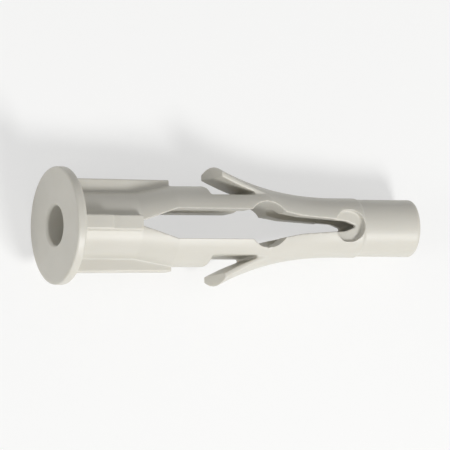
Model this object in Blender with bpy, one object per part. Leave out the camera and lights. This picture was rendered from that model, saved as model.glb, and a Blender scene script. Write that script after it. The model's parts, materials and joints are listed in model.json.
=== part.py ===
"""A one-piece nylon wall plug with a collar, four anti-turn fins, a slotted barrel and two locking tongues.

The plug is modelled along +X from the face of its collar, with the tongues at +Y and -Y and the slot
running through it along Z. It then lies on its side as it does on a bench: the rim of the collar and
the edge of the tip touch the ground, and the slot looks up.
"""

import math

import bmesh
import bpy
from mathutils import Matrix, Vector

MM = 0.001

# Lengths along the axis, one after the other from the face of the collar.
COLLAR_THICKNESS = 1.0
NECK_LENGTH = 7.2
SHOULDER_LENGTH = 3.9
BARREL_LENGTH = 5.3
FLARE_LENGTH = 13.6
TAIL_LENGTH = 1.8
TIP_LENGTH = 6.2

# Diameters, and the distance across the free ends of the two tongues.
COLLAR_DIAMETER = 11.9
NECK_DIAMETER = 6.8
BARREL_DIAMETER = 8.1
TAIL_DIAMETER = 5.94
TIP_DIAMETER = 5.7
TONGUE_SPAN = 12.0
BORE_MOUTH_DIAMETER = 4.0
BORE_TIP_DIAMETER = 2.7
BORE_LEAD_IN = 0.2

# Rounded edges of the collar and of the tip.
COLLAR_EDGE_RADIUS = 0.16
TIP_EDGE_RADIUS = 0.3

# Fins on the neck. The fins over the slot are shorter, with a step in the crest.
FIN_THICKNESS = 1.5
FIN_ROOT_SPAN = 9.5
FIN_END_SPAN = 9.2
LONG_FIN_LENGTH = 11.8
SHORT_FIN_LENGTH = 7.0
FIN_STEP_LENGTH = 3.5
FIN_STEP_SPAN = 8.2

# Slot that parts the barrel into two legs, and the round hole across it.
SLOT_HEIGHT = 3.0
SLOT_TIP_HEIGHT = 0.5
SLOT_START_GAP = 0.1
SLOT_OPENING_LENGTH = 3.7
SLOT_THROAT_HEIGHT = 2.55
SLOT_WAIST_HEIGHT = 1.8
SLOT_WAIST_GAP = 6.2
SLOT_CLOSING_HEIGHT = 1.0
SLOT_CLOSING_GAP = 1.0
SLOT_END_HEIGHT = 0.25
SLOT_END_GAP = 0.75
CROSS_HOLE_DIAMETER = 4.8
CROSS_HOLE_SETBACK = 4.4

# Locking tongues and the pocket under each.
TONGUE_WIDTH = 5.2
POCKET_FLOOR_SPAN = 6.06
POCKET_LENGTH = 3.5
POCKET_WALL_ANGLE = math.radians(59.5)
TONGUE_GAP = 1.5
TONGUE_UNDERSIDE_ANGLE = math.radians(24.0)
FLARE_POWER = 2.25

# Round flat recess on each side, where the slot ends.
RECESS_DIAMETER = 3.4
RECESS_FLOOR_SPAN = 4.3
RECESS_SETBACK = 1.25

# Facets round the axis, along the flare and along each round stretch of an outline.
TURNS = 64
FLARE_STEPS = 18
ARC_STEPS = 10
EDGE_STEPS = 3

# Cutters reach this far past the surface that they cut.
OVERCUT = 1.0

# Stations along the axis that follow from the lengths.
NECK_END = COLLAR_THICKNESS + NECK_LENGTH
SHOULDER_END = NECK_END + SHOULDER_LENGTH
FLARE_START = SHOULDER_END + BARREL_LENGTH
FLARE_END = FLARE_START + FLARE_LENGTH
TAIL_END = FLARE_END + TAIL_LENGTH
TIP_END = TAIL_END + TIP_LENGTH


def flare_radius(station):
    """Radius of the flare: the tail's radius plus a share that falls off as a power of the length left."""
    left = (FLARE_END - station) / FLARE_LENGTH
    return TAIL_DIAMETER / 2 + (TONGUE_SPAN - TAIL_DIAMETER) / 2 * left**FLARE_POWER


def arc(centre, radius, start, end, steps):
    """Points on a circular arc, both ends included."""
    angles = [start + (end - start) * step / steps for step in range(steps + 1)]
    return [(centre[0] + radius * math.cos(a), centre[1] + radius * math.sin(a)) for a in angles]


def rounded_rim(front, back, radius, edge):
    """Profile of a disc's rim between two stations, with both edges rounded."""
    front_edge = arc((front + edge, radius - edge), edge, math.pi, math.pi / 2, EDGE_STEPS)
    back_edge = arc((back - edge, radius - edge), edge, math.pi / 2, 0, EDGE_STEPS)
    return front_edge + back_edge


def mirrored(upper):
    """A closed outline from its upper half, which runs from left to right."""
    return upper + [(x, -y) for x, y in reversed(upper)]


def new_object(name, mesh_builder):
    """A mesh object from a bmesh in millimetres, scaled to metres, with its faces turned outwards."""
    mesh_builder.normal_update()
    bmesh.ops.recalc_face_normals(mesh_builder, faces=mesh_builder.faces)
    bmesh.ops.scale(mesh_builder, vec=(MM, MM, MM), verts=mesh_builder.verts)
    mesh = bpy.data.meshes.new(name)
    mesh_builder.to_mesh(mesh)
    mesh_builder.free()
    obj = bpy.data.objects.new(name, mesh)
    bpy.context.scene.collection.objects.link(obj)
    return obj


def turned(name, profile):
    """A solid of revolution about X, from (station, radius) points that start and end on the axis.

    The first meridian lies half a facet off +Z, so that a facet, not an edge, faces +Z, -Z, +Y and -Y.
    """
    builder = bmesh.new()
    first = Matrix.Rotation(math.pi / TURNS, 3, "X")
    points = [builder.verts.new(first @ Vector((x, 0, r))) for x, r in profile]
    edges = [builder.edges.new(pair) for pair in zip(points, points[1:])]
    bmesh.ops.spin(
        builder,
        geom=points + edges,
        cent=(0, 0, 0),
        axis=(1, 0, 0),
        angle=2 * math.pi,
        steps=TURNS,
        use_merge=True,
    )
    bmesh.ops.remove_doubles(builder, verts=builder.verts, dist=1e-5)
    return new_object(name, builder)


def prism(name, outline, low, high, place=None):
    """An (x, y) outline extruded along Z from low to high, then turned by a matrix if one is given."""
    builder = bmesh.new()
    base = builder.faces.new([builder.verts.new((x, y, low)) for x, y in outline])
    raised = bmesh.ops.extrude_face_region(builder, geom=[base])
    moved = [item for item in raised["geom"] if isinstance(item, bmesh.types.BMVert)]
    bmesh.ops.translate(builder, vec=(0, 0, high - low), verts=moved)
    if place is not None:
        bmesh.ops.transform(builder, matrix=place, verts=builder.verts)
    return new_object(name, builder)


def boolean(obj, operation, name, helpers):
    """One live Boolean of an object with a collection of helpers, which all act at once."""
    group = bpy.data.collections.new(name)
    bpy.context.scene.collection.children.link(group)
    for helper in helpers:
        bpy.context.scene.collection.objects.unlink(helper)
        group.objects.link(helper)
        helper.hide_render = True
        helper.display_type = "WIRE"
    modifier = obj.modifiers.new(name, "BOOLEAN")
    modifier.operation = operation
    modifier.solver = "EXACT"
    modifier.operand_type = "COLLECTION"
    modifier.collection = group


def head_profile():
    """Outer profile of the collar, neck, shoulder and barrel, with the barrel run on past the tip."""
    rim = rounded_rim(0, COLLAR_THICKNESS, COLLAR_DIAMETER / 2, COLLAR_EDGE_RADIUS)
    neck = [(COLLAR_THICKNESS, NECK_DIAMETER / 2), (NECK_END, NECK_DIAMETER / 2)]
    reach = TIP_END + OVERCUT
    barrel = [(SHOULDER_END, BARREL_DIAMETER / 2), (reach, BARREL_DIAMETER / 2)]
    return [(0, 0)] + rim + neck + barrel + [(reach, 0)]


def tip_profile():
    """Outer profile of the tail and of the tip, whose end has a rounded edge."""
    ring = [(TAIL_END, TAIL_DIAMETER / 2), (TAIL_END, TIP_DIAMETER / 2)]
    edge_centre = (TIP_END - TIP_EDGE_RADIUS, TIP_DIAMETER / 2 - TIP_EDGE_RADIUS)
    return ring + arc(edge_centre, TIP_EDGE_RADIUS, math.pi / 2, 0, EDGE_STEPS)


def flare_envelope():
    """A turned shape whose flare, tail and tip trim the barrel; it clears the collar all round."""
    step = FLARE_LENGTH / FLARE_STEPS
    stations = [FLARE_START + step * count for count in range(FLARE_STEPS + 1)]
    flare = [(station, flare_radius(station)) for station in stations]
    slope = (flare[0][1] - flare[1][1]) / step
    free_end = (FLARE_START - OVERCUT, flare[0][1] + slope * OVERCUT)
    clear = COLLAR_DIAMETER / 2 + TONGUE_SPAN / 2
    shell = [(-OVERCUT, 0), (-OVERCUT, clear), (FLARE_START - OVERCUT, clear), free_end]
    return turned("flare_envelope", shell + flare + tip_profile() + [(TIP_END, 0)])


def tongue_slab():
    """The plate through the barrel that holds both tongues before the flare trims it."""
    start = FLARE_START - OVERCUT / 2
    end = FLARE_START + POCKET_LENGTH + FLARE_LENGTH / 2
    outline = mirrored([(start, TONGUE_SPAN), (end, TONGUE_SPAN)])
    return prism("tongue_slab", outline, -TONGUE_WIDTH / 2, TONGUE_WIDTH / 2)


def long_fins():
    """The pair of fins above the tongues, as one plate through the neck."""
    start = COLLAR_THICKNESS / 2
    end = COLLAR_THICKNESS + LONG_FIN_LENGTH
    outline = mirrored([(start, FIN_ROOT_SPAN / 2), (end, FIN_END_SPAN / 2)])
    return prism("long_fins", outline, -FIN_THICKNESS / 2, FIN_THICKNESS / 2)


def short_fins():
    """The pair of fins over the slot, each with a step in its crest, as one plate through the neck."""
    start = COLLAR_THICKNESS / 2
    step = COLLAR_THICKNESS + FIN_STEP_LENGTH
    end = COLLAR_THICKNESS + SHORT_FIN_LENGTH
    crest = [(start, FIN_ROOT_SPAN / 2), (step, FIN_ROOT_SPAN / 2)]
    low_crest = [(step, FIN_STEP_SPAN / 2), (end, FIN_STEP_SPAN / 2)]
    quarter_turn = Matrix.Rotation(math.pi / 2, 4, "X")
    outline = mirrored(crest + low_crest)
    return prism("short_fins", outline, -FIN_THICKNESS / 2, FIN_THICKNESS / 2, quarter_turn)


def bore():
    """The tapered hole for the screw, open at both ends, with a small lead-in at the collar."""
    taper = (BORE_TIP_DIAMETER - BORE_MOUTH_DIAMETER) / 2 / TIP_END
    mouth = BORE_MOUTH_DIAMETER / 2
    profile = [
        (-OVERCUT, 0),
        (-OVERCUT, mouth + BORE_LEAD_IN + OVERCUT),
        (BORE_LEAD_IN, mouth + taper * BORE_LEAD_IN),
        (TIP_END + OVERCUT, mouth + taper * (TIP_END + OVERCUT)),
        (TIP_END + OVERCUT, 0),
    ]
    return turned("screw_bore", profile)


def slot():
    """The slot through both sides, which opens at the neck and closes at the tail.

    A round hole crosses it, and past the hole it starts again at a narrower throat.
    """
    start = NECK_END + SLOT_START_GAP
    end = TAIL_END - SLOT_END_GAP
    opening = [(start, SLOT_TIP_HEIGHT / 2), (start + SLOT_OPENING_LENGTH, SLOT_HEIGHT / 2)]
    hole = (FLARE_START + CROSS_HOLE_SETBACK, 0)
    entry = math.pi - math.asin(SLOT_HEIGHT / CROSS_HOLE_DIAMETER)
    throat = math.asin(SLOT_THROAT_HEIGHT / CROSS_HOLE_DIAMETER)
    scallop = arc(hole, CROSS_HOLE_DIAMETER / 2, entry, throat, ARC_STEPS)
    closing = [
        (end - SLOT_WAIST_GAP, SLOT_WAIST_HEIGHT / 2),
        (end - SLOT_CLOSING_GAP, SLOT_CLOSING_HEIGHT / 2),
        (end, SLOT_END_HEIGHT / 2),
    ]
    reach = COLLAR_DIAMETER
    return prism("leg_slot", mirrored(opening + scallop + closing), -reach, reach)


def pocket(side):
    """The pocket under one tongue: a flat floor, a slanted wall, and the tongue's end and underside."""
    floor = POCKET_FLOOR_SPAN / 2
    lean = 1 / math.tan(POCKET_WALL_ANGLE)
    end_shift = TONGUE_GAP / math.sin(POCKET_WALL_ANGLE)
    apex = FLARE_START + POCKET_LENGTH
    rise = math.tan(TONGUE_UNDERSIDE_ANGLE)
    nose_run = apex - FLARE_START - end_shift
    nose_rise = nose_run * rise / (1 - lean * rise)
    top = TONGUE_SPAN / 2 + 2 * OVERCUT
    outline = [
        (FLARE_START, floor),
        (apex, floor),
        (FLARE_START + end_shift - lean * nose_rise, floor + nose_rise),
        (FLARE_START + end_shift - lean * (top - floor), top),
        (FLARE_START - lean * (top - floor), top),
    ]
    outline = [(x, side * y) for x, y in outline]
    reach = COLLAR_DIAMETER
    return prism(f"pocket_{'left' if side > 0 else 'right'}", outline, -reach, reach)


def recess(side):
    """The round flat recess on one side of the slot's end."""
    centre = (TAIL_END - RECESS_SETBACK, 0)
    outline = arc(centre, RECESS_DIAMETER / 2, 0, 2 * math.pi, 3 * ARC_STEPS)[:-1]
    near = side * RECESS_FLOOR_SPAN / 2
    far = side * BARREL_DIAMETER
    return prism(f"recess_{'upper' if side > 0 else 'lower'}", outline, min(near, far), max(near, far))


def polyamide():
    """Undyed moulded polyamide, an off-white with a satin surface."""
    material = bpy.data.materials.new("natural_polyamide")
    material.use_nodes = True
    shader = material.node_tree.nodes["Principled BSDF"]
    shader.inputs["Base Color"].default_value = (0.74, 0.73, 0.68, 1)
    shader.inputs["Roughness"].default_value = 0.42
    shader.inputs["Metallic"].default_value = 0.0
    shader.inputs["IOR"].default_value = 1.53
    return material


def wall_plug():
    """The whole moulding: the turned head, with fins and tongues added, trimmed and hollowed out."""
    plug = turned("wall_plug", head_profile())
    boolean(plug, "UNION", "added", [tongue_slab(), long_fins(), short_fins()])
    boolean(plug, "INTERSECT", "trimmed", [flare_envelope()])
    sides = [cutter(side) for cutter in (pocket, recess) for side in (1, -1)]
    boolean(plug, "DIFFERENCE", "hollowed", [bore(), slot()] + sides)
    plug.data.materials.append(polyamide())
    plug.data.shade_smooth()
    plug.data.set_sharp_from_angle(angle=math.radians(30))
    return plug


def resting_tilt():
    """The slope of the line that touches the collar's rim and the tip's edge, on the lowest facets."""
    apothem = math.cos(math.pi / TURNS)
    collar = [(x, r * apothem) for x, r in head_profile() if x <= COLLAR_THICKNESS]
    tip = [(x, r * apothem) for x, r in tip_profile()]
    slopes = []
    for rim in collar:
        slopes.append(min((rim[1] - edge[1]) / (edge[0] - rim[0]) for edge in tip))
    return math.atan(max(slopes))


def lay_down(plug):
    """Tilts the plug about Y onto its rim and tip, and centres its footprint on the origin."""
    rest = bpy.data.objects.new("rest_pose", None)
    bpy.context.scene.collection.objects.link(rest)
    rest.rotation_euler = (0, resting_tilt(), 0)
    for obj in bpy.context.scene.objects:
        if obj.type == "MESH":
            obj.parent = rest
    bpy.context.view_layer.update()
    evaluated = plug.evaluated_get(bpy.context.evaluated_depsgraph_get())
    corners = [evaluated.matrix_world @ vertex.co for vertex in evaluated.data.vertices]
    low = [min(corner[axis] for corner in corners) for axis in range(3)]
    high = [max(corner[axis] for corner in corners) for axis in range(3)]
    rest.location = (-(low[0] + high[0]) / 2, -(low[1] + high[1]) / 2, -low[2])


def main():
    for obj in list(bpy.data.objects):
        bpy.data.objects.remove(obj, do_unlink=True)
    lay_down(wall_plug())


main()
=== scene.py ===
# %% [markdown]
# # A nylon wall plug
# This lesson dresses the CAD model of a one-piece nylon wall plug. The plug lies on its side, on the rim
# of its collar and the edge of its tip, with its slot looking up. The CAD model gives the main sizes and
# the place on the floor. Here the same moulding is made again with finer curves, with thinner tongues as
# in the drawing, and with the small rounded edges that a steel mould leaves. It then gets the look of
# undyed polyamide.

import json
import math

import bpy
import numpy as np
from mathutils import Matrix, Vector

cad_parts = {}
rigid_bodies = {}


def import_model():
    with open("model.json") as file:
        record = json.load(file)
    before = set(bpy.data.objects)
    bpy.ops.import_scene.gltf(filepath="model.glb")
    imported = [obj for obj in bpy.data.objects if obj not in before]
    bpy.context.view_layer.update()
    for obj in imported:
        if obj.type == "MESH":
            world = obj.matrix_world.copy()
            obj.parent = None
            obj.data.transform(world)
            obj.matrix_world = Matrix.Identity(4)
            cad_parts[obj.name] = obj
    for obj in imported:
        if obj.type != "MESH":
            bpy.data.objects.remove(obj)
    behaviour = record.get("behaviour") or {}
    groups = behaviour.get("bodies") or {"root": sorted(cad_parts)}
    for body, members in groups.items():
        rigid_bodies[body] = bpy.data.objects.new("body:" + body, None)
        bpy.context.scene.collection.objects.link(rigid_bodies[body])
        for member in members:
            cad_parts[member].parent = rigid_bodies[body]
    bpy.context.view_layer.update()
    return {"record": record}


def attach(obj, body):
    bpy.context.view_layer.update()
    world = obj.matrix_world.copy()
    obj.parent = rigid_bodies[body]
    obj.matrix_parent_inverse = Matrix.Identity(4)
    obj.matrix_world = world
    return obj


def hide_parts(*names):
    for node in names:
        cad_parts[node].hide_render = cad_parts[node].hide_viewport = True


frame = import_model()

# %% [markdown]
# ## Where the plug lies
# The moulding is easiest to shape in its own frame, in millimetres: x runs along its axis from the face
# of the collar, the two tongues stand at +y and -y, and the slot runs along z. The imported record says
# where the collar's face is and which way it looks, so the matrix from this frame to the floor's follows
# from one mount. It turns about y alone, by the slope of the resting plug.

# %% The matrix from the plug's own frame to the row's frame
MM = 0.001
FACE_POINT = (0, 2.6, 2.6)

collar_face = next(m for m in frame["record"]["mounts"] if m["name"] == "collar_face")
along = -Vector(collar_face["axis"]).normalized()
across = Vector((0, 1, 0))
upward = along.cross(across)
turn = Matrix((along, across, upward)).transposed()
place = Vector(collar_face["pos_m"]) - turn @ (Vector(FACE_POINT) * MM)
print("slope in degrees:", round(math.degrees(math.acos(along.x)), 2))

# %% [markdown]
# ## The camera
# The drawing is a parallel projection: lines along the plug stay parallel, and a millimetre has the same
# length at both ends. So the camera is orthographic. Its three axes come from a turn about the plug's
# y axis, which brings the face of the collar into view, a small look from below and a small roll, and
# they are written as the columns of the camera's matrix.

# %% The orthographic camera
FACE_TURN = math.radians(24.4)
LOW_LOOK = math.radians(-5.0)
ROLL = math.radians(1.76)
PICTURE_WIDTH = 45.0
CENTRE_RIGHT = 17.06
CENTRE_UP = 0.05
CAMERA_DISTANCE = 250.0

sin_a, cos_a = math.sin(FACE_TURN), math.cos(FACE_TURN)
sin_e, cos_e = math.sin(LOW_LOOK), math.cos(LOW_LOOK)
level_right = Vector((cos_a, 0, sin_a))
level_up = Vector((sin_a * sin_e, cos_e, -cos_a * sin_e))
toward = Vector((-sin_a * cos_e, sin_e, cos_a * cos_e))
right = level_right * math.cos(ROLL) - level_up * math.sin(ROLL)
up = level_right * math.sin(ROLL) + level_up * math.cos(ROLL)
target = right * CENTRE_RIGHT + up * CENTRE_UP

camera = bpy.data.objects.new("camera", bpy.data.cameras.new("camera"))
bpy.context.scene.collection.objects.link(camera)
camera.data.type = "ORTHO"
camera.data.ortho_scale = PICTURE_WIDTH * MM
camera.data.clip_start, camera.data.clip_end = 0.01, 5.0
axes = Matrix((turn @ right, turn @ up, turn @ toward)).transposed()
eye = turn @ ((target + toward * CAMERA_DISTANCE) * MM) + place
camera.matrix_world = Matrix.Translation(eye) @ axes.to_4x4()
bpy.context.scene.camera = camera
print("camera looks down at degrees:", round(math.degrees(math.asin((turn @ toward).z)), 1))

# %% [markdown]
# ## Two kinds of surface
# A moulding like this is a lathe shape with flat plates added and slots taken away. Both kinds are
# profiles carried along a path, so two functions make them all. One carries a profile round the axis.
# The other carries a flat outline along a straight line. Each works out its points as one array.

# %% Helpers that put arrays into a mesh


def new_piece(name, points, faces):
    """A mesh object from an array of points in millimetres and a list of faces."""
    mesh = bpy.data.meshes.new(name)
    mesh.from_pydata(points.tolist(), [], faces)
    mesh.validate()
    piece = bpy.data.objects.new(name, mesh)
    bpy.context.scene.collection.objects.link(piece)
    return piece


def turned(name, profile, turns=160):
    """A profile of (station, radius) rows carried round the x axis.

    The point of row i at step j is (station, radius * sin(angle), radius * cos(angle)), where the angle is
    j / turns of a full turn. The first and the last row lie on the axis, and each is one point, a pole.
    """
    profile = np.asarray(profile, float)
    angles = np.arange(turns) * 2 * math.pi / turns
    station, radius = profile[1:-1, 0:1], profile[1:-1, 1:2]
    rings = np.stack(
        [station + 0 * angles, radius * np.sin(angles), radius * np.cos(angles)], axis=-1
    ).reshape(-1, 3)
    poles = np.array([[profile[0, 0], 0, 0], [profile[-1, 0], 0, 0]])
    row, step = np.meshgrid(np.arange(len(profile) - 3), np.arange(turns), indexing="ij")
    after = (step + 1) % turns
    quads = np.stack(
        [
            row * turns + step,
            (row + 1) * turns + step,
            (row + 1) * turns + after,
            row * turns + after,
        ],
        axis=-1,
    ).reshape(-1, 4)
    first, last = len(rings), len(rings) + 1
    base = (len(profile) - 3) * turns
    one, two = np.arange(turns), (np.arange(turns) + 1) % turns
    front = np.stack([one, two, np.full(turns, first)], axis=-1)
    back = np.stack([base + two, base + one, np.full(turns, last)], axis=-1)
    faces = quads.tolist() + front.tolist() + back.tolist()
    return new_piece(name, np.concatenate([rings, poles]), faces)


def carried(name, outline, low, high, axis="z"):
    """A closed (x, y) outline carried from the level low to the level high along z, or along y.

    The points are the outline twice, once at each level. The outline runs anticlockwise, so that its
    side faces and its two caps look outwards.
    """
    outline = np.asarray(outline, float)
    count = len(outline)
    levels = np.repeat([low, high], count)[:, None]
    points = np.concatenate([np.tile(outline, (2, 1)), levels], axis=1)
    if axis == "y":
        points = points[:, [0, 2, 1]] * (1, -1, 1)
    one, two = np.arange(count), (np.arange(count) + 1) % count
    sides = np.stack([one, two, two + count, one + count], axis=-1).tolist()
    caps = [one[::-1].tolist(), (one + count).tolist()]
    return new_piece(name, points, sides + caps)


def arc(centre, radius, start, end, steps=12):
    """Points on a circle's arc: the centre plus the radius times (cos, sin) of angles in equal steps."""
    angles = np.linspace(start, end, steps + 1)
    return np.asarray(centre) + radius * np.stack([np.cos(angles), np.sin(angles)], axis=1)


def mirrored(upper):
    """A closed anticlockwise outline from its upper half, which runs from left to right."""
    upper = np.asarray(upper, float)
    return np.concatenate([upper * (1, -1), upper[::-1]])


# %% [markdown]
# ## The turned body
# The collar, neck, shoulder and barrel of the real plug come out of one round cavity. Its profile is a
# handful of stations and radii, the same as the CAD model's. The collar's two edges are rounded.

# %% The profile of the head and of the barrel
COLLAR_BACK = 1.0
NECK_END = 8.2
SHOULDER_END = 12.1
FLARE_START = 17.4
FLARE_END = 31.0
TAIL_END = 32.8
TIP_END = 39.0
COLLAR_RADIUS = 5.95
NECK_RADIUS = 3.4
BARREL_RADIUS = 4.05
TAIL_RADIUS = 2.97
TIP_RADIUS = 2.85
RIM_EDGE = 0.2
REACH = 1.0

quarter = math.pi / 2
edge_level = COLLAR_RADIUS - RIM_EDGE
rim_front = arc((RIM_EDGE, edge_level), RIM_EDGE, 2 * quarter, quarter, 6)
rim_back = arc((COLLAR_BACK - RIM_EDGE, edge_level), RIM_EDGE, quarter, 0, 6)
head = np.concatenate([
    [(0, 0)],
    rim_front,
    rim_back,
    [(COLLAR_BACK, NECK_RADIUS), (NECK_END, NECK_RADIUS)],
    [(SHOULDER_END, BARREL_RADIUS), (TIP_END + REACH, BARREL_RADIUS)],
    [(TIP_END + REACH, 0)],
])
plug = turned("nylon_plug", head)
print("turned body:", len(plug.data.polygons), "faces")

# %% [markdown]
# ## Fins and tongues
# Four fins stand on the neck and stop the plug from turning in the wall. Each pair is one plate through
# the neck. Separate plates set on the neck would do as well, but one plate needs no seat on a round face.
# The tongues start as one thick plate through the barrel, and the flare then trims them. It is a second
# turned shape, wide behind the tongues' free ends and falling to the tail along a power curve.

# %% Plates for the fins and the tongues
FIN_HALF = 0.75
FIN_START = 0.5
FIN_ROOT = 4.75
LONG_FIN_END = 12.4
LONG_FIN_TIP = 4.6
FIN_STEP = 4.5
SHORT_FIN_END = 8.0
SHORT_FIN_TIP = 4.1
TONGUE_HALF = 2.6
TONGUE_TOP = 6.0
PLATE_START, PLATE_END, PLATE_TOP = 16.9, 28.0, 9.0

long_crest = [(FIN_START, FIN_ROOT), (LONG_FIN_END, LONG_FIN_TIP)]
stepped_crest = [
    (FIN_START, FIN_ROOT),
    (FIN_STEP, FIN_ROOT),
    (FIN_STEP, SHORT_FIN_TIP),
    (SHORT_FIN_END, SHORT_FIN_TIP),
]
plate_top = [(PLATE_START, PLATE_TOP), (PLATE_END, PLATE_TOP)]
long_fins = carried("long_fins", mirrored(long_crest), -FIN_HALF, FIN_HALF)
short_fins = carried("short_fins", mirrored(stepped_crest), -FIN_HALF, FIN_HALF, axis="y")
tongues = carried("tongues", mirrored(plate_top), -TONGUE_HALF, TONGUE_HALF)

# %% The flare that trims the barrel and the tongues
FLARE_POWER = 2.25
TIP_EDGE = 0.3
CLEAR = 12.0


def flare_radius(station):
    """The tail's radius plus a share that falls off as a power of the flare's length still left."""
    left = (FLARE_END - station) / (FLARE_END - FLARE_START)
    return TAIL_RADIUS + (TONGUE_TOP - TAIL_RADIUS) * left**FLARE_POWER


stations = np.linspace(FLARE_START, FLARE_END, 73)
flare = np.stack([stations, flare_radius(stations)], axis=1)
slope = (flare[0, 1] - flare[1, 1]) / (flare[1, 0] - flare[0, 0])
envelope = np.concatenate([
    [(-REACH, 0), (-REACH, CLEAR), (FLARE_START - REACH, CLEAR)],
    [(FLARE_START - REACH, TONGUE_TOP + slope * REACH)],
    flare[1:],
    [(TAIL_END, TAIL_RADIUS), (TAIL_END, TIP_RADIUS)],
    arc((TIP_END - TIP_EDGE, TIP_RADIUS - TIP_EDGE), TIP_EDGE, quarter, 0, 8),
    [(TIP_END, 0)],
])
flare_trim = turned("flare_trim", envelope)
print("flare slope at the free ends, degrees:", round(math.degrees(math.atan(slope)), 1))

# %% [markdown]
# ## What the mould's cores leave open
# A long pin leaves the bore for the screw, nearly straight as far as the cross hole and then tapered. Two
# flat cores leave the slot and the round hole across it. Other cores leave the pocket under each tongue
# and the shallow round recess where the slot ends. Each core is a solid of its own here, and one Boolean
# takes them all away. The drawing shows the tongues as thin plates, thinner than in the CAD model.

# %% The bore
BORE_MOUTH = 2.0
BORE_MIDDLE = 1.9
BORE_END = 1.35
LEAD_IN = 0.2
HOLE_STATION = 22.0

taper = (BORE_MIDDLE - BORE_END) / (TIP_END - HOLE_STATION)
bore = turned("bore", [
    (-REACH, 0),
    (-REACH, BORE_MOUTH + LEAD_IN + REACH),
    (LEAD_IN, BORE_MOUTH),
    (HOLE_STATION, BORE_MIDDLE),
    (TIP_END + REACH, BORE_END - taper * REACH),
    (TIP_END + REACH, 0),
], turns=96)

# %% The slot and its cross hole
SLOT_START, SLOT_START_HALF = 8.3, 0.25
SLOT_FULL, SLOT_HALF = 12.0, 1.5
HOLE_RADIUS = 2.3
THROAT_HALF = 1.275
WAIST_STATION, WAIST_HALF = 25.85, 0.9
CLOSING_STATION, CLOSING_HALF = 31.05, 0.5
SLOT_END, SLOT_END_HALF = 32.05, 0.12

hole_entry = math.pi - math.asin(SLOT_HALF / HOLE_RADIUS)
hole_leave = math.asin(THROAT_HALF / HOLE_RADIUS)
slot_upper = np.concatenate([
    [(SLOT_START, SLOT_START_HALF), (SLOT_FULL, SLOT_HALF)],
    arc((HOLE_STATION, 0), HOLE_RADIUS, hole_entry, hole_leave, 24),
    [(WAIST_STATION, WAIST_HALF), (CLOSING_STATION, CLOSING_HALF), (SLOT_END, SLOT_END_HALF)],
])
slot = carried("slot", mirrored(slot_upper), -CLEAR, CLEAR)

# %% The pockets and the recesses
POCKET_FLOOR = 3.03
POCKET_START = 16.15
POCKET_END = 21.0
POCKET_TOP = 8.0
TONGUE_THICKNESS = 1.15

under = np.linspace(POCKET_END, FLARE_START, 25)
pocket_outline = np.concatenate([
    [(POCKET_START, POCKET_TOP), (POCKET_START, POCKET_FLOOR), (POCKET_END, POCKET_FLOOR)],
    np.stack([under, flare_radius(under) - TONGUE_THICKNESS], axis=1),
    [(FLARE_START, POCKET_TOP)],
])
pocket_left = carried("pocket_left", pocket_outline, -CLEAR, CLEAR)
pocket_right = carried("pocket_right", (pocket_outline * (1, -1))[::-1], -CLEAR, CLEAR)

RECESS_STATION = 31.25
RECESS_RADIUS = 1.6
RECESS_FLOOR = 2.15
recess_circle = arc((RECESS_STATION, 0), RECESS_RADIUS, 0, 4 * quarter, 72)[:-1]
recess_top = carried("recess_top", recess_circle, RECESS_FLOOR, POCKET_TOP)
recess_bottom = carried("recess_bottom", recess_circle, -POCKET_TOP, -RECESS_FLOOR)
cutters = [bore, slot, pocket_left, pocket_right, recess_top, recess_bottom]
print("cutters:", len(cutters))

# %% [markdown]
# ## Join, cut and round
# Boolean modifiers put the shapes together exactly, which leaves edges as sharp as a knife. A mould is
# cut with round tools and polished, so every edge of the real plug has a small radius. A voxel remesh
# of the whole turns it into one even skin, a little smoothing melts its edges by about a tenth of a
# millimetre, and Decimate then takes out the points that flat faces don't need.

# %% The Boolean steps and the rounded skin
VOXEL = 0.085
SMOOTHING = 4
MOST_TRIANGLES = 190000


def combine(piece, operation, helpers):
    """One Boolean modifier of the piece with a collection of helpers, which all act at once."""
    group = bpy.data.collections.new(operation.lower())
    bpy.context.scene.collection.children.link(group)
    for helper in helpers:
        bpy.context.scene.collection.objects.unlink(helper)
        group.objects.link(helper)
    modifier = piece.modifiers.new(operation.lower(), "BOOLEAN")
    modifier.operation = operation
    modifier.solver = "EXACT"
    modifier.operand_type = "COLLECTION"
    modifier.collection = group


def baked(piece):
    """The piece's mesh with its modifiers worked in."""
    graph = bpy.context.evaluated_depsgraph_get()
    return bpy.data.meshes.new_from_object(piece.evaluated_get(graph))


combine(plug, "UNION", [long_fins, short_fins, tongues])
combine(plug, "INTERSECT", [flare_trim])
combine(plug, "DIFFERENCE", cutters)

skin = plug.modifiers.new("skin", "REMESH")
skin.mode = "VOXEL"
skin.voxel_size = VOXEL
melt = plug.modifiers.new("melt", "SMOOTH")
melt.factor = 0.5
melt.iterations = SMOOTHING
skin_mesh = baked(plug)
print("skin:", 2 * len(skin_mesh.polygons), "triangles")

thin = plug.modifiers.new("thin", "DECIMATE")
thin.ratio = min(1.0, MOST_TRIANGLES / (2 * len(skin_mesh.polygons)))
bpy.data.meshes.remove(skin_mesh)

# %% [markdown]
# The finished mesh is baked out of its modifiers, scaled to metres, turned to lie as the plug rests and
# set on the floor. The CAD model's round faces are 64-sided, so the smooth ones are drawn in to their
# flats, which keeps them inside the CAD box.

# %% Bake the moulding and lay it on the floor
CAD_TURNS = 64

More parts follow.
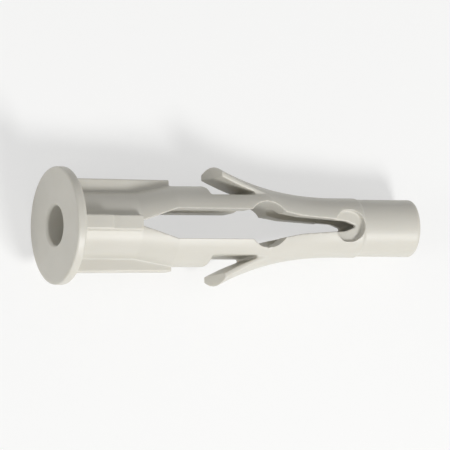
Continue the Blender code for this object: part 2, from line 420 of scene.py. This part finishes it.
flats = math.cos(math.pi / CAD_TURNS)
mesh = baked(plug)
mesh.transform(Matrix.Diagonal((MM, MM * flats, MM * flats, 1)))
mesh.transform(Matrix.Translation(place) @ turn.to_4x4())
points = np.zeros(3 * len(mesh.vertices), np.float32)
mesh.vertices.foreach_get("co", points)
lowest = float(points[2::3].min())
mesh.transform(Matrix.Translation((0, 0, -lowest)))
for helper in [long_fins, short_fins, tongues, flare_trim, plug] + cutters:
    bpy.data.objects.remove(helper)
plug = bpy.data.objects.new("nylon_plug", mesh)
bpy.context.scene.collection.objects.link(plug)
mesh.shade_smooth()
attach(plug, "root")
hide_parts("wall_plug")
mesh.calc_loop_triangles()
print("finished moulding:", len(mesh.loop_triangles), "triangles, lowered by mm", round(lowest / MM, 4))

# %% [markdown]
# ## Undyed polyamide
# Nylon for plugs is moulded without dye. It is a milky off-white that lets a little light in, so its
# thin edges glow and its shadows stay soft. The mould is spark-eroded, which leaves a fine even grain and
# a satin shine. An image of the grain would need a map onto the mesh. Noise laid out in the object's own
# millimetres needs none, so a bump gives the grain its real size, and faint flow marks run along the plug.

# %% Colour and node helpers


def linear(code):
    """An sRGB hex colour as linear red, green, blue and alpha."""
    parts = np.array([int(code[i:i + 2], 16) for i in (1, 3, 5)]) / 255
    curve = np.where(parts <= 0.04045, parts / 12.92, ((parts + 0.055) / 1.055) ** 2.4)
    return (*curve.tolist(), 1.0)


def add_node(tree, kind, inputs=(), **settings):
    """A node of a kind: settings are its own, and inputs are (socket, value or output socket) pairs."""
    node = tree.nodes.new(kind)
    for name, value in settings.items():
        setattr(node, name, value)
    for socket, value in inputs:
        if isinstance(value, bpy.types.NodeSocket):
            tree.links.new(value, node.inputs[socket])
        else:
            node.inputs[socket].default_value = value
    return node


# %% The polyamide material
PALE = "#CBC8BE"
PALER = "#D3D0C7"
SATIN = 0.42
NYLON_IOR = 1.53
MILKINESS = 0.25
LIGHT_DEPTH = 0.7
GRAIN_SIZE = 0.14
GRAIN_HEIGHT = 0.012
FLOW_MARK_WIDTH = 2.0
FLOW_MARK_LENGTH = 9.0

nylon = bpy.data.materials.new("undyed_polyamide")
nylon.use_nodes = True
tree = nylon.node_tree
shader = tree.nodes["Principled BSDF"]
shader.inputs["Metallic"].default_value = 0.0
shader.inputs["Roughness"].default_value = SATIN
shader.inputs["IOR"].default_value = NYLON_IOR
shader.inputs["Subsurface Weight"].default_value = MILKINESS
shader.inputs["Subsurface Radius"].default_value = (1.0, 0.9, 0.75)
shader.inputs["Subsurface Scale"].default_value = LIGHT_DEPTH * MM

place_in = add_node(tree, "ShaderNodeTexCoord")
stretched = add_node(
    tree,
    "ShaderNodeMapping",
    [("Vector", place_in.outputs["Object"]), ("Scale", (FLOW_MARK_WIDTH / FLOW_MARK_LENGTH, 1, 1))],
)
flow = add_node(
    tree,
    "ShaderNodeTexNoise",
    [("Vector", stretched.outputs["Vector"]), ("Scale", 1 / (FLOW_MARK_WIDTH * MM)), ("Detail", 3.0)],
)
shade = add_node(
    tree,
    "ShaderNodeMix",
    [(0, flow.outputs["Fac"]), (6, linear(PALE)), (7, linear(PALER))],
    data_type="RGBA",
)
tree.links.new(shade.outputs[2], shader.inputs["Base Color"])
grain = add_node(
    tree,
    "ShaderNodeTexNoise",
    [("Vector", place_in.outputs["Object"]), ("Scale", 1 / (GRAIN_SIZE * MM)), ("Detail", 2.0)],
)
bump = add_node(
    tree,
    "ShaderNodeBump",
    [("Height", grain.outputs["Fac"]), ("Strength", 0.35), ("Distance", GRAIN_HEIGHT * MM)],
)
tree.links.new(bump.outputs["Normal"], shader.inputs["Normal"])
mesh.materials.clear()
mesh.materials.append(nylon)
print("grain bumps per mm:", round(1 / GRAIN_SIZE, 1))

# %% [markdown]
# ## Floor and light
# The drawing has a white sheet behind it and is lit from its lower right: the upper halves of the round
# parts carry the dots of shade. A broad soft lamp stands high on the lit side, and a pale world fills the
# shade. The floor is a plain disc. For rays from the camera, and for those it sees in a shine, the floor
# is whitened halfway, so that it looks like paper and still keeps the plug's shadow. The room behind the
# floor's edge is white to the same rays, and fainter to all others.

# %% A share for seen rays


def seen_share(tree, share):
    """A share that counts only for rays from the camera, directly or by way of a shine or clear matter."""
    rays = add_node(tree, "ShaderNodeLightPath")
    seen = rays.outputs["Is Camera Ray"]
    for kind in ("Is Glossy Ray", "Is Transmission Ray"):
        both = add_node(
            tree, "ShaderNodeMath", [(0, seen), (1, rays.outputs[kind])], operation="MAXIMUM"
        )
        seen = both.outputs[0]
    part = add_node(tree, "ShaderNodeMath", [(0, seen), (1, share)], operation="MULTIPLY")
    return part.outputs[0]


# %% The floor
FLOOR_RADIUS = 900.0
FLOOR_COLOUR = "#F4F4F2"
PAPER_SHARE = 0.55

circle = arc((0, 0), FLOOR_RADIUS * MM, 0, 4 * quarter, 96)[:-1]
floor_mesh = bpy.data.meshes.new("floor")
floor_mesh.from_pydata([(x, y, 0) for x, y in circle.tolist()], [], [list(range(96))])
floor = bpy.data.objects.new("floor", floor_mesh)
bpy.context.scene.collection.objects.link(floor)
paper = bpy.data.materials.new("floor_paper")
paper.use_nodes = True
tree = paper.node_tree
sheet = tree.nodes["Principled BSDF"]
sheet.inputs["Base Color"].default_value = linear(FLOOR_COLOUR)
sheet.inputs["Roughness"].default_value = 0.9
white = add_node(tree, "ShaderNodeEmission", [("Color", (1, 1, 1, 1)), ("Strength", 1.0)])
mixed = add_node(
    tree,
    "ShaderNodeMixShader",
    [(0, seen_share(tree, PAPER_SHARE)), (1, sheet.outputs[0]), (2, white.outputs[0])],
)
tree.links.new(mixed.outputs[0], tree.nodes["Material Output"].inputs["Surface"])
floor_mesh.materials.append(paper)
print("floor across in m:", 2 * FLOOR_RADIUS * MM)

# %% The lamps and the world


def soft_lamp(name, place, size, power):
    """A square lamp of a size in metres at a place, which looks at the middle of the plug."""
    lamp = bpy.data.objects.new(name, bpy.data.lights.new(name, "AREA"))
    bpy.context.scene.collection.objects.link(lamp)
    lamp.data.size = size
    lamp.data.energy = power
    lamp.location = place
    lamp.rotation_mode = "QUATERNION"
    lamp.rotation_quaternion = Vector(place).to_track_quat("Z", "Y")
    print(name, "metres away:", round(Vector(place).length, 2))


AMBIENT = 0.36

soft_lamp("key_lamp", (0.13, -0.25, 0.31), 0.12, 1.20)
soft_lamp("end_lamp", (-0.32, -0.06, 0.16), 0.16, 0.22)

world = bpy.data.worlds.new("pale_room")
bpy.context.scene.world = world
world.use_nodes = True
tree = world.node_tree
strength = add_node(
    tree,
    "ShaderNodeMath",
    [(0, seen_share(tree, 1 - AMBIENT)), (1, AMBIENT)],
    operation="ADD",
)
tree.nodes["Background"].inputs["Color"].default_value = linear("#FFFFFF")
tree.links.new(strength.outputs[0], tree.nodes["Background"].inputs["Strength"])
bpy.context.scene.view_settings.view_transform = "Standard"
